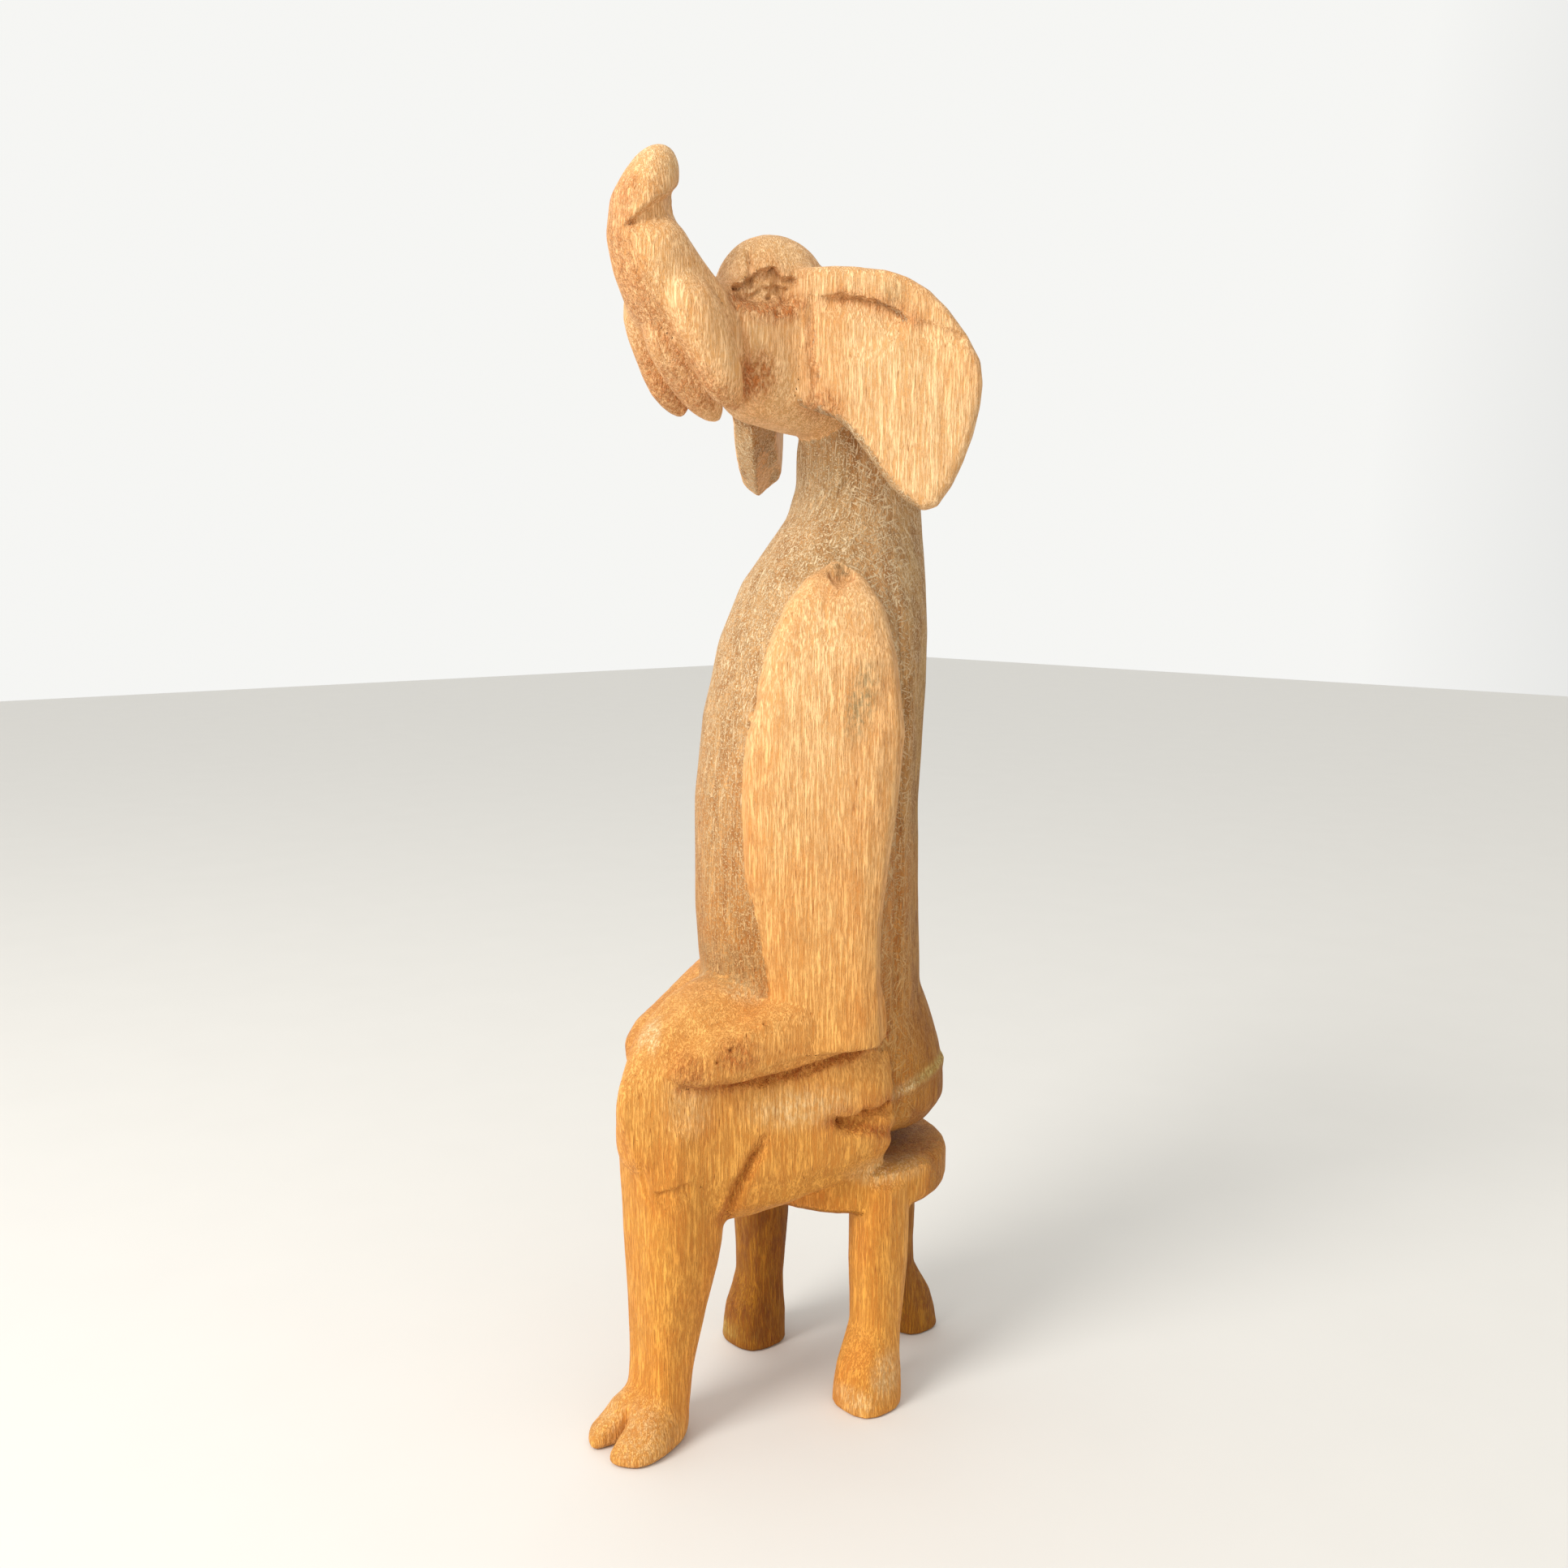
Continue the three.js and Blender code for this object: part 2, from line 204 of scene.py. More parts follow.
class Wood:
    """The figure as a grid of distances to its surface, negative inside, with the node that each
    voxel belongs to."""

    def __init__(self, nodes):
        self.names = sorted(nodes)
        meshes = [node_mesh(nodes[name]) for name in self.names]
        points = np.concatenate([mesh[0] for mesh in meshes])
        self.low = np.floor((points.min(0) - BORDER) / VOXEL).astype(int)
        high = np.ceil((points.max(0) + BORDER) / VOXEL).astype(int)
        self.shape = tuple(high - self.low + 1)
        self.field = self.closed(meshes)
        self.owner = self.owners(meshes)

    def closed(self, meshes):
        """The field of all the nodes together, with the gaps between them filled."""
        shell = level_set(*joined(meshes))
        points, quads = shell.convertToQuads(isovalue=GAP_CLOSING)
        filled = level_set(points.astype(np.float32), halved(quads))
        return dense(filled, self.low, self.shape) + GAP_CLOSING

    def owners(self, meshes):
        """The number of the nearest node, from 1, for each voxel near or inside a node."""
        nearest = np.full(self.shape, BAND, np.float32)
        owner = np.zeros(self.shape, np.uint8)
        for number, (points, triangles) in enumerate(meshes, 1):
            grid = level_set(points, triangles)
            corners = np.array(grid.evalActiveVoxelBoundingBox())
            start = np.maximum(corners[0] - self.low, 0)
            stop = np.minimum(corners[1] + 1 - self.low, self.shape)
            place = tuple(slice(a, b) for a, b in zip(start, stop))
            values = dense(grid, start + self.low, tuple(stop - start))
            closer = values < nearest[place]
            nearest[place][closer] = values[closer]
            owner[place][closer] = number
        return owner

    def numbers(self, names):
        return [self.names.index(name) + 1 for name in names]

    def soften(self):
        """Rounds the carved edges a little everywhere, and the body's masses more."""
        body = np.isin(self.owner, self.numbers(BODY_NODES)).astype(np.float32)
        share = blurred(body, BODY_SOFTENING)
        little = softened(self.field, CARVED_SOFTENING)
        much = softened(self.field, BODY_SOFTENING)
        self.field = little + share * (much - little)

    def window(self, points, margin):
        """The part of the grid within a margin of some points, and the places of its voxels."""
        points = np.atleast_2d(points)
        start = np.floor((points.min(0) - margin) / VOXEL).astype(int) - self.low
        stop = np.ceil((points.max(0) + margin) / VOXEL).astype(int) - self.low + 1
        start = np.clip(start, 0, self.shape)
        stop = np.clip(stop, 0, self.shape)
        place = tuple(slice(a, b) for a, b in zip(start, stop))
        axes = [np.arange(a, b) * VOXEL for a, b in zip(start + self.low, stop + self.low)]
        return place, np.stack(np.meshgrid(*axes, indexing="ij"), -1)

    def cut(self, place, amount):
        """Takes a thickness of wood off the surface, or adds it where it is negative."""
        self.field[place] += amount.astype(np.float32)


# ---------------------------------------------------------------- strokes of the knife

GROOVE_REACH = 8.0  # a groove or ledge cuts wood up to this far above and below its path
PATCH_REACH = 9.0  # a dish or a mark acts up to this far above and below its centre
PATCH_END = 13.0  # and a colour patch is gone by this far

def seen_along(path, facing, spots):
    """How spots lie to a path, seen against the direction that the surface faces.

    Gives their distance from it, that distance with a sign (positive on the path's right), the
    share of the path's length where they are nearest, and their height above the path."""
    facing = unit(facing)
    path = np.atleast_2d(np.asarray(path, float))
    lengths = np.linalg.norm(np.diff(path, axis=0), axis=1)
    starts = np.concatenate([[0.0], np.cumsum(lengths)])
    best = np.full(spots.shape[:-1], np.inf)
    side = np.zeros(spots.shape[:-1])
    share = np.zeros(spots.shape[:-1])
    height = np.zeros(spots.shape[:-1])
    for index in range(len(path) - 1):
        start, end = path[index], path[index + 1]
        chord = (end - start) - facing * np.dot(end - start, facing)
        chord_length = np.linalg.norm(chord)
        offset = spots - start
        flat = offset - (offset @ facing)[..., None] * facing
        t = np.clip(flat @ chord / chord_length ** 2, 0.0, 1.0)
        gap = flat - t[..., None] * chord
        distance = np.linalg.norm(gap, axis=-1)
        closer = distance < best
        right = np.cross(chord / chord_length, facing)
        best = np.where(closer, distance, best)
        side = np.where(closer, flat @ right, side)
        share = np.where(closer, (starts[index] + t * lengths[index]) / starts[-1], share)
        depth = (spots - start - t[..., None] * (end - start)) @ facing
        height = np.where(closer, depth, height)
    return best, np.copysign(best, side), share, height


def roughened(spots, rough, seed):
    """The spots moved about a little, so that what is cut by them has ragged edges."""
    if not rough:
        return spots
    moved = [noise(spots, 3.0, seed + axis) + 0.5 * noise(spots, 1.4, seed + 7 + axis)
             for axis in range(3)]
    return spots + rough * np.stack(moved, -1)


def near_surface(height, reach):
    return 1.0 - smoothstep(0.7 * reach, reach, np.abs(height))


def groove(wood, path, facing, width, depth, reach=GROOVE_REACH, rough=0.0, seed=1):
    """A V-shaped cut along a path, that runs out at both ends."""
    place, spots = wood.window(path, width + 2.0)
    distance, _, share, height = seen_along(path, facing, roughened(spots, rough, seed))
    taper = smoothstep(0.0, 0.25, share) * (1.0 - smoothstep(0.75, 1.0, share))
    profile = np.clip(1.0 - distance / width, 0.0, 1.0)
    wood.cut(place, depth * profile * (0.35 + 0.65 * taper) * near_surface(height, reach))


def ledge(wood, path, facing, width, depth, rough=0.0, seed=1, lip=0.8):
    """A cut that drops sharply on the right of a path and runs out smoothly over a width."""
    place, spots = wood.window(path, width + 2.0)
    distance, signed, share, height = seen_along(path, facing, roughened(spots, rough, seed))
    taper = smoothstep(0.0, 0.2, share) * (1.0 - smoothstep(0.8, 1.0, share))
    drop = smoothstep(-0.5 * lip, 0.5 * lip, signed) * (1.0 - smoothstep(0.0, width, distance))
    wood.cut(place, depth * drop * taper * near_surface(height, GROOVE_REACH))


def patch_axes(facing, tilt):
    """Directions across and up a patch of surface that faces a direction, turned by a tilt."""
    facing = unit(facing)
    across = unit(np.cross(UP, facing)) if abs(facing[2]) < 0.9 else LEFT
    along = np.cross(facing, across)
    turn = math.radians(tilt)
    turned = across * math.cos(turn) + along * math.sin(turn)
    return turned, along * math.cos(turn) - across * math.sin(turn), facing


def dish(wood, centre, facing, radii, depth, tilt=0.0, rough=0.0, seed=1):
    """A shallow oval bowl: radii are across and along, tilted from upright; a negative depth
    raises a lump."""
    across, along, facing = patch_axes(facing, tilt)
    place, spots = wood.window(centre, max(radii) + 3.0)
    offset = roughened(spots, rough, seed) - np.asarray(centre, float)
    round_distance = np.hypot(offset @ across / radii[0], offset @ along / radii[1])
    bowl = np.clip(1.0 - round_distance ** 2, 0.0, 1.0) ** 1.5
    wood.cut(place, depth * bowl * near_surface(offset @ facing, PATCH_REACH))


def shave(wood, point, normal, centre, radius, softness=0.8):
    """A flat facet: takes off what stands above a plane, within a radius of a centre."""
    normal = unit(normal)
    place, spots = wood.window(centre, radius)
    above = (spots - np.asarray(point, float)) @ normal
    near = 1.0 - smoothstep(0.6 * radius, radius, np.linalg.norm(spots - centre, axis=-1))
    field = wood.field[place]
    blend = np.clip(0.5 + 0.5 * (above - field) / softness, 0.0, 1.0)
    shaved = field + (above - field) * blend + softness * blend * (1.0 - blend)
    wood.field[place] = (field + (shaved - field) * near).astype(np.float32)


# ---------------------------------------------------------------- carved features

HEAD_SIDE = unit((0.95, -0.25, 0.05))
TUSK_SIDE = unit((0.8, -0.6, 0.0))
SIDES = ((1, np.asarray, 11), (-1, mirrored, 31))  # path order, how points are flipped, seed

BROW = [(8, -54, 342), (10, -48.5, 345), (11, -44, 347), (11.5, -39.5, 349.5),
        (12.5, -36, 347), (13, -30.5, 346.5)]
BROW_INNER = [(9, -52.5, 340.5), (12, -46, 342), (12.5, -41, 344.5), (13, -36, 344),
              (14, -32, 345)]
HOLLOW_FLOOR = [(10.5, -52, 339), (13, -47, 337), (14.5, -41.5, 336.5), (15.5, -34, 339)]
EYE_HOLLOW = (13.5, -42, 340.5)
EYE = (13.5, -40.5, 341)
EYE_CORNER = (14.2, -40, 336)
EYE_CUTS = [[(10, -50, 343.5), (13, -44, 339.5)], [(12, -46, 346), (13.5, -42, 341)],
            [(12.5, -37.5, 347), (13.5, -39.5, 342)], [(13.5, -34, 345), (14, -37, 339)]]
EAR_SEAM = [(18, -30.3, 341), (17.8, -30.6, 331), (18.2, -30.2, 320), (19, -29, 311)]
RIM_GROOVE = [(18.5, -30, 341.5), (24, -24.3, 341.8), (28, -20.3, 340.8), (31, -17.4, 339.6),
              (34, -14.6, 338), (39, -9.5, 334.5)]
FAR_EAR_FACING = unit((-0.695, -0.72, 0.0))
EAR_INWARD = unit((0.72, -0.695, -0.2))  # from the right ear towards the neck
FAR_EAR_EDGE = [(-20, -22, 307), (-26, -16.5, 298), (-33, -10, 291.5), (-40.5, -2.7, 287.5)]
EAR_DIP = (30, -18, 331)
EAR_BULGE = (36, -12, 312)
FOLD = [(39, -9.4, 334.8), (44, -4.4, 333), (50, 2.5, 329.5)]
TRUNK_EDGE = [(0, -87, 366), (1, -88, 355), (2, -82, 342), (3, -80, 333)]
TRUNK_RIDGE = [(2.5, -86, 355), (7.5, -82, 360), (9, -76, 364), (6, -68, 369.5)]
TRUNK_SIDE = (0.85, -0.5, 0)
TRUNK_WRINKLE = (8.5, -78.5, 358)
FOREHEAD_CRACK = [(6.5, -44.5, 356), (9.3, -46, 349.5), (11, -46.8, 343)]
MOUTH_CORNER = (12.5, -45, 319)
TUSK_BACK = [(11, -54, 340), (12.3, -52, 332), (12.5, -50.8, 323), (10.5, -48.5, 311)]
TUSK_EDGE = [(3, -80, 338), (6.5, -73.5, 326), (10, -66, 317), (14, -58.5, 309)]
NECK_CRACK = [(12.6, -10.2, 294), (12.1, -11.5, 289.5), (10.3, -13.8, 284)]
ARM_TOP_NOTCH = (30.5, -29.5, 265)
ARM_CRACK = [(28.6, -33.5, 257.5), (30, -36, 250.6), (30.2, -36.8, 247), (32.4, -35.6, 242.6)]
ARM_FRONT_CRACK = [(13.5, -47, 228), (13, -48.5, 221), (12, -50, 215)]
ARM_REAR_FACING = unit((0.9, 0.3, 0))
ARM_REAR = [(27, -5, 256), (30, -2.5, 241), (31, -2, 225), (31, -3, 205), (30, -5, 185),
            (30, -5.5, 160), (31, -6, 128)]
HAND_UNDER = [(36.4, -13, 121.5), (31, -28, 117.5), (25, -44, 113.5), (21.5, -62, 112.5),
              (15, -76, 113.5)]
KNUCKLES = [((22, -64, 125), 2.4), ((23, -59.5, 128.5), 2.2), ((24.5, -54, 131), 1.8),
            ((21.5, -69, 122), 1.8)]
KNUCKLES_FACING = unit((0.8, -0.4, 0.4))
LEG_GROOVE = [(3.4, -87.6, 107.8), (5.6, -86.5, 96), (5.7, -84, 81.3), (8.6, -82.6, 73.6)]
KNEECAP_FLOOR = [(7.5, -83.5, 81), (11.3, -81.2, 82.6), (14, -72.5, 84.3)]
KNEE_BACK = [(21.5, -51, 94), (20, -55, 87), (18, -58.5, 80), (13.5, -60, 70)]
HIP_NOTCH_TOP = [(29.5, -31, 98), (32.5, -22.6, 99.2), (35, -8, 101)]
HIP_NOTCH_FLOOR = [(29.5, -31, 97.5), (32.5, -22, 94), (35, -8, 89.5)]
RUMP_SIDE = unit((0.9, 0.4, 0))
RUMP_BAND = [(33, -8, 101.5), (32, 2.6, 104), (29, 13.4, 106), (20, 26, 107)]


def carve_eye(wood, order, flip, seed):
    """The rough hollow under the brow, with a second cut inside it and the eye's pit."""
    facing = flip(HEAD_SIDE)
    ledge(wood, flip(BROW)[::order], facing, 10.0, 3.0, rough=0.9, seed=seed)
    ledge(wood, flip(BROW_INNER)[::order], facing, 7.0, 1.8, rough=1.1, seed=seed + 1)
    dish(wood, flip(EYE_HOLLOW), facing, (10.0, 5.0), 1.2, rough=0.8, seed=seed + 2)
    dish(wood, flip(EYE), facing, (1.8, 1.6), 2.0, rough=0.4, seed=seed + 3)
    dish(wood, flip(EYE_CORNER), facing, (2.2, 1.2), 1.2, rough=0.4, seed=seed + 4)
    for path in EYE_CUTS:
        groove(wood, flip(path), facing, 1.3, 1.0, rough=0.6, seed=seed + 5)


def carve_ears(wood, order, flip, seed):
    """The seam where the ear leaves the cheek, the cut under its rolled rim, the fold, and the
    dip above the ear's bulge."""
    facing = flip(FRONT_LEFT)
    groove(wood, flip(EAR_SEAM), facing, 1.8, 1.3, rough=0.9, seed=seed + 9)
    ledge(wood, flip(RIM_GROOVE)[::order], facing, 9.0, 2.6, rough=0.5, seed=seed + 13)
    ledge(wood, flip(FOLD)[::order], facing, 8.0, 1.1, rough=0.3, seed=seed + 17)
    dish(wood, flip(EAR_DIP), facing, (15.0, 8.0), 1.0, tilt=25)
    dish(wood, flip(EAR_BULGE), facing, (14.0, 20.0), -0.8)


def carve_far_ear(wood):
    """The right ear's thick lower edge has a ridge between two facets."""
    for start, end in zip(FAR_EAR_EDGE, FAR_EAR_EDGE[1:]):
        along = unit(np.subtract(end, start))
        edge = np.cross(FAR_EAR_FACING, along)
        middle = np.add(start, end) / 2
        for normal in (0.8 * edge + 0.6 * FAR_EAR_FACING, 0.6 * edge - 0.8 * FAR_EAR_FACING):
            shave(wood, middle, normal, middle, 13.0, 0.5)


def carve_mouth(wood, flip, seed):
    """The crease behind the tusk and the rough dip at the corner of the mouth."""
    groove(wood, flip(TUSK_BACK), flip(TUSK_SIDE), 2.2, 1.8, seed=seed + 21)
    dish(wood, flip(MOUTH_CORNER), flip(HEAD_SIDE), (5.5, 8.0), 1.2, rough=1.0,
         seed=seed + 19)


def carve_head(wood):
    for order, flip, seed in SIDES:
        carve_eye(wood, order, flip, seed)
        carve_ears(wood, order, flip, seed)
        carve_mouth(wood, flip, seed)
    carve_far_ear(wood)
    groove(wood, FOREHEAD_CRACK, (0.8, -0.6, 0.2), 0.9, 1.8, reach=6.0)
    ledge(wood, TRUNK_RIDGE, TRUNK_SIDE, 11.0, 2.4, lip=1.2, rough=0.3, seed=41)
    dish(wood, TRUNK_WRINKLE, TRUNK_SIDE, (5.5, 3.0), 1.0, tilt=20, rough=0.4, seed=43)


def carve_body(wood):
    """The crack in the neck, the cut behind each arm, and the arm's cracks and notched top."""
    groove(wood, NECK_CRACK, CAMERA_SIDE, 1.0, 1.2, rough=0.6, seed=51)
    for flip in (np.asarray, mirrored):
        groove(wood, flip(ARM_REAR), flip(ARM_REAR_FACING), 2.6, 2.4, rough=0.4, seed=52)
    groove(wood, ARM_CRACK, FRONT_LEFT, 0.9, 0.8, rough=0.5, seed=53)
    groove(wood, ARM_FRONT_CRACK, CAMERA_SIDE, 1.0, 1.2, rough=0.4, seed=54)
    dish(wood, ARM_TOP_NOTCH, (0.5, -0.5, 0.7), (3.6, 5.5), 4.5, rough=1.2, seed=55)


def carve_hands(wood):
    """The cut under each hand, and lumps with a pit in each where the left hand's knuckles are."""
    for seed, flip in ((57, np.asarray), (58, mirrored)):
        groove(wood, flip(HAND_UNDER), flip(unit((0.9, -0.4, 0))), 2.2, 2.0, rough=0.9, seed=seed)
    for number, (centre, radius) in enumerate(KNUCKLES):
        pit = (0.5 * radius, 0.4 * radius)
        dish(wood, centre, KNUCKLES_FACING, (radius, radius), -0.9, rough=0.5, seed=80 + number)
        dish(wood, centre, KNUCKLES_FACING, pit, 1.6, rough=0.6, seed=90 + number)


def carve_legs(wood):
    """The groove between the legs, the kneecap's flat and its lower edge, the crease behind the
    knee, the notch at the hip and the band round the rump."""
    groove(wood, LEG_GROOVE, (0.4, -0.9, 0), 1.5, 0.8, rough=0.3, seed=61)
    shave(wood, (12.2, -78.5, 97), (0.74, -0.67, 0.06), (11, -79, 97), 19.0)
    ledge(wood, KNEECAP_FLOOR, (0.8, -0.6, 0), 9.0, 1.2, rough=0.3, seed=62)
    groove(wood, KNEE_BACK, (0.9, -0.4, 0), 2.8, 3.0, rough=0.6, seed=63)
    ledge(wood, HIP_NOTCH_TOP, LEFT, 8.0, 4.0, rough=1.0, seed=64)
    groove(wood, HIP_NOTCH_FLOOR, LEFT, 2.5, 1.6, rough=1.0, seed=65)
    ledge(wood, RUMP_BAND, RUMP_SIDE, 5.0, -1.0, rough=0.3, seed=66)


def carve(wood):
    carve_head(wood)
    carve_body(wood)
    carve_hands(wood)
    carve_legs(wood)


# ---------------------------------------------------------------- from field to meshes

JOINT_ROUNDS = 3  # how many cells down a joint the skin's normals are carried
JOINT_DEPTH = 0.7  # how far a joint's edge is sunk below the skin
SKIN_ROUNDS = 2
SMOOTHING_STEPS = (0.5, -0.52)  # a step in and a slightly longer one out keep the volume
CELL_EDGES = [(axis, a, b) for axis in range(3) for a in (0, 1) for b in (0, 1)]


def edge_ends(axis, a, b):
    """The two corners of a cell's edge along an axis, at offsets a and b on the other axes."""
    low = [0, 0, 0]
    others = [other for other in range(3) if other != axis]
    low[others[0]], low[others[1]] = a, b
    high = list(low)
    high[axis] = 1
    return tuple(low), tuple(high)


class Shells:
    """One closed net of quads for each owner, made cell by cell. Neighbouring nets share their
    vertices, so they meet exactly. Vertices on the wood's surface lie on the field's zero."""

    def __init__(self, wood):
        self.owner = np.where(wood.field < 0.0, wood.owner, 0).astype(np.uint8)
        self.number_cells()
        self.place_vertices(wood)
        self.make_quads()

    def corner(self, values, offset):
        return values[tuple(slice(o, values.shape[axis] - 1 + o) for axis, o in enumerate(offset))]

    def number_cells(self):
        first = self.corner(self.owner, (0, 0, 0))
        mixed = np.zeros(first.shape, bool)
        for offset in itertools.product((0, 1), repeat=3):
            mixed |= self.corner(self.owner, offset) != first
        self.cells = np.argwhere(mixed)
        self.index = np.full(first.shape, -1, np.int32)
        self.index[mixed] = np.arange(len(self.cells))

    def place_vertices(self, wood):
        """Each cell's vertex is the middle of the points where its edges cross the surface, or
        of its edges between two owners if it is inside the wood."""
        count = len(self.cells)
        surface_sum, surface_hits = np.zeros((count, 3)), np.zeros(count)
        inner_sum, inner_hits = np.zeros((count, 3)), np.zeros(count)
        for axis, a, b in CELL_EDGES:
            low, high = edge_ends(axis, a, b)
            ends = [tuple((self.cells + np.array(end)).T) for end in (low, high)]
            owners = [self.owner[end] for end in ends]
            values = [wood.field[end] for end in ends]
            crosses = (owners[0] == 0) != (owners[1] == 0)
            parts = (owners[0] != owners[1]) & ~crosses
            span = np.where(crosses, values[0] - values[1], 1.0)
            t = np.clip(values[0] / span, 0.0, 1.0)
            for hit, share, total, hits in ((crosses, t, surface_sum, surface_hits),
                                            (parts, 0.5, inner_sum, inner_hits)):
                spot = np.array(low, float) + np.zeros((count, 3))
                spot[:, axis] += share
                total += spot * hit[:, None]
                hits += hit
        self.on_surface = surface_hits > 0
        total = np.where(self.on_surface[:, None], surface_sum, inner_sum)
        hits = np.where(self.on_surface, surface_hits, np.maximum(inner_hits, 1))
        self.points = (self.cells + total / hits[:, None] + wood.low) * VOXEL

    def make_quads(self):
        """A quad for each grid edge between different owners, facing from its low to its high
        end, with the owners at those ends."""
        quads, behind, ahead = [], [], []
        for axis in range(3):
            low = [slice(1, -1)] * 3
            high = [slice(1, -1)] * 3
            low[axis], high[axis] = slice(0, -1), slice(1, None)
            before, after = self.owner[tuple(low)], self.owner[tuple(high)]
            spots = np.argwhere(before != after)
            start = spots + np.array([0 if other == axis else 1 for other in range(3)])
            first, second = (axis + 1) % 3, (axis + 2) % 3
            ring = []
            for a, b in ((1, 1), (0, 1), (0, 0), (1, 0)):
                cell = start.copy()
                cell[:, first] -= a
                cell[:, second] -= b
                ring.append(self.index[tuple(cell.T)])
            quads.append(np.stack(ring, 1))
            behind.append(before[tuple(spots.T)])
            ahead.append(after[tuple(spots.T)])
        self.quads = np.concatenate(quads)
        self.behind = np.concatenate(behind)
        self.ahead = np.concatenate(ahead)
        outward = (self.behind > 0) & (self.ahead == 0)
        inward = (self.behind == 0) & (self.ahead > 0)
        self.skin = np.concatenate([self.quads[outward], self.quads[inward][:, ::-1]])
        self.inner = self.quads[(self.behind > 0) & (self.ahead > 0)]

    def averaged(self, values, quads, movable):
        """Values averaged over each movable vertex's neighbours along the sides of some quads."""
        total = np.zeros_like(values)
        hits = np.zeros(len(values))
        for side in range(4):
            here, there = quads[:, side], quads[:, (side + 1) % 4]
            for a, b in ((here, there), (there, here)):
                hits += np.bincount(a, minlength=len(values))
                for channel in range(values.shape[1]):
                    total[:, channel] += np.bincount(a, values[b, channel], len(values))
        usable = movable & (hits > 0)
        result = values.copy()
        result[usable] = total[usable] / hits[usable, None]
        return result

    def smooth(self, rounds):
        """Evens out the skin without shrinking it, and the joints between the pieces."""
        for _ in range(rounds):
            for step in SMOOTHING_STEPS:
                mean = self.averaged(self.points, self.skin, self.on_surface)
                self.points += step * (mean - self.points)
        for _ in range(3 * rounds):
            self.points = self.averaged(self.points, self.inner, ~self.on_surface)

    def normals(self):
        """The skin's normal at each vertex, carried a little way down the joints below it, and
        zero further down."""
        corners = self.points[self.skin]
        face = np.cross(corners[:, 2] - corners[:, 0], corners[:, 3] - corners[:, 1])
        total = np.zeros_like(self.points)
        for side in range(4):
            for axis in range(3):
                total[:, axis] += np.bincount(self.skin[:, side], face[:, axis], len(total))
        for _ in range(JOINT_ROUNDS):
            length = np.linalg.norm(total, axis=1, keepdims=True)
            total = total / np.maximum(length, 1e-9)
            total = self.averaged(total, self.inner, ~self.on_surface)
        length = np.linalg.norm(total, axis=1, keepdims=True)
        return total / np.maximum(length, 1e-9)

    def bury_joints(self, normals, depth):
        """Moves the joints' vertices that lie close under the skin deeper into the wood."""
        self.points = self.points - depth * normals * ~self.on_surface[:, None]

    def piece(self, number):
        """The quads of one owner's closed net, facing out of it."""
        return np.concatenate([self.quads[self.behind == number],
                               self.quads[self.ahead == number][:, ::-1]])


# ---------------------------------------------------------------- tool marks

def add_tool_marks(shells, normals):
    """Broad unevenness and knife facets, as a displacement along the normals."""
    points = shells.points
    swell = 0.30 * noise(points, (17, 17, 30), 71) + 0.16 * noise(points, (7, 7, 16), 72)
    facets = 0.10 * np.abs(noise(points, (4.5, 4.5, 11), 73))
    ripple = 0.05 * noise(points, (1.6, 1.6, 9), 74)
    amount = swell - facets + ripple
    on_floor = smoothstep(1.0, 4.0, points[:, 2])
    points = points + normals * (amount * on_floor * shells.on_surface)[:, None]
    shells.points = np.clip(points, *CAD_BOX)


# ---------------------------------------------------------------- where the wood differs, and where shade is painted in

HAND_SIDE = unit((0.9, -0.4, 0.0))
ROUGH_STROKES = [  # where a cut has torn the wood: path, facing, width and strength
    (BROW, HEAD_SIDE, 6.0, 0.3), (HOLLOW_FLOOR, HEAD_SIDE, 6.0, 1.0),
    (RIM_GROOVE[1:], FRONT_LEFT, 5.0, 0.5), (TUSK_EDGE, TUSK_SIDE, 8.0, 0.6),
    (HAND_UNDER, HAND_SIDE, 4.5, 0.7),
    (HIP_NOTCH_TOP, LEFT, 7.0, 0.5), (HIP_NOTCH_FLOOR, LEFT, 4.0, 0.7),
    (KNEE_BACK, HAND_SIDE, 5.0, 0.5), (EAR_SEAM, FRONT_LEFT, 4.0, 0.35),
    (TRUNK_EDGE, FRONT_LEFT, 9.0, 0.5),
]
ROUGH_PATCHES = [  # centre, facing, radii, tilt and strength
    ((12.5, -45, 318.5), LEFT, (8.0, 10.0), 0.0, 0.9),
    ((19, -27, 311), FRONT_LEFT, (10.0, 7.0), 0.0, 0.6),
    ((0, -66, 314), FRONT_LEFT, (14.0, 15.0), 0.0, 0.6),
    ((22, -62, 123), HAND_SIDE, (11.0, 7.0), 0.0, 0.7),
    ((15, -74, 119), HAND_SIDE, (10.0, 8.0), 0.0, 0.6),
    ((30, -30, 261), FRONT_LEFT, (9.0, 7.0), 0.0, 0.25),
]
STAINS_AND_NECK_SHADOW = [  # grey-green marks; the one on the neck's right also paints the shadow under the ear
    ((38.5, -29, 226), FRONT_LEFT, (7.0, 18.0), -12.0, 0.8),
    ((30.5, -29.5, 264), FRONT_LEFT, (5.0, 6.0), 0.0, 0.8),
    ((35, -14, 342), FRONT_LEFT, (6.0, 6.0), 0.0, 0.5),
    ((10, -15, 350), HEAD_SIDE, (6.0, 6.0), 0.0, 0.6),
    # painted shadow: darkens the neck's right, under the ear
    ((14, -16, 290), CAMERA_SIDE, (6.0, 14.0), 0.0, 0.2),
    ((6, -46, 140), (0.3, -0.6, 0.7), (16.0, 12.0), 0.0, 0.55),
    ((24, -24, 268), FRONT_LEFT, (22.0, 10.0), 20.0, 0.35),
]
PALE_STROKES = [(RUMP_BAND, RUMP_SIDE, 3.0, 0.8)]
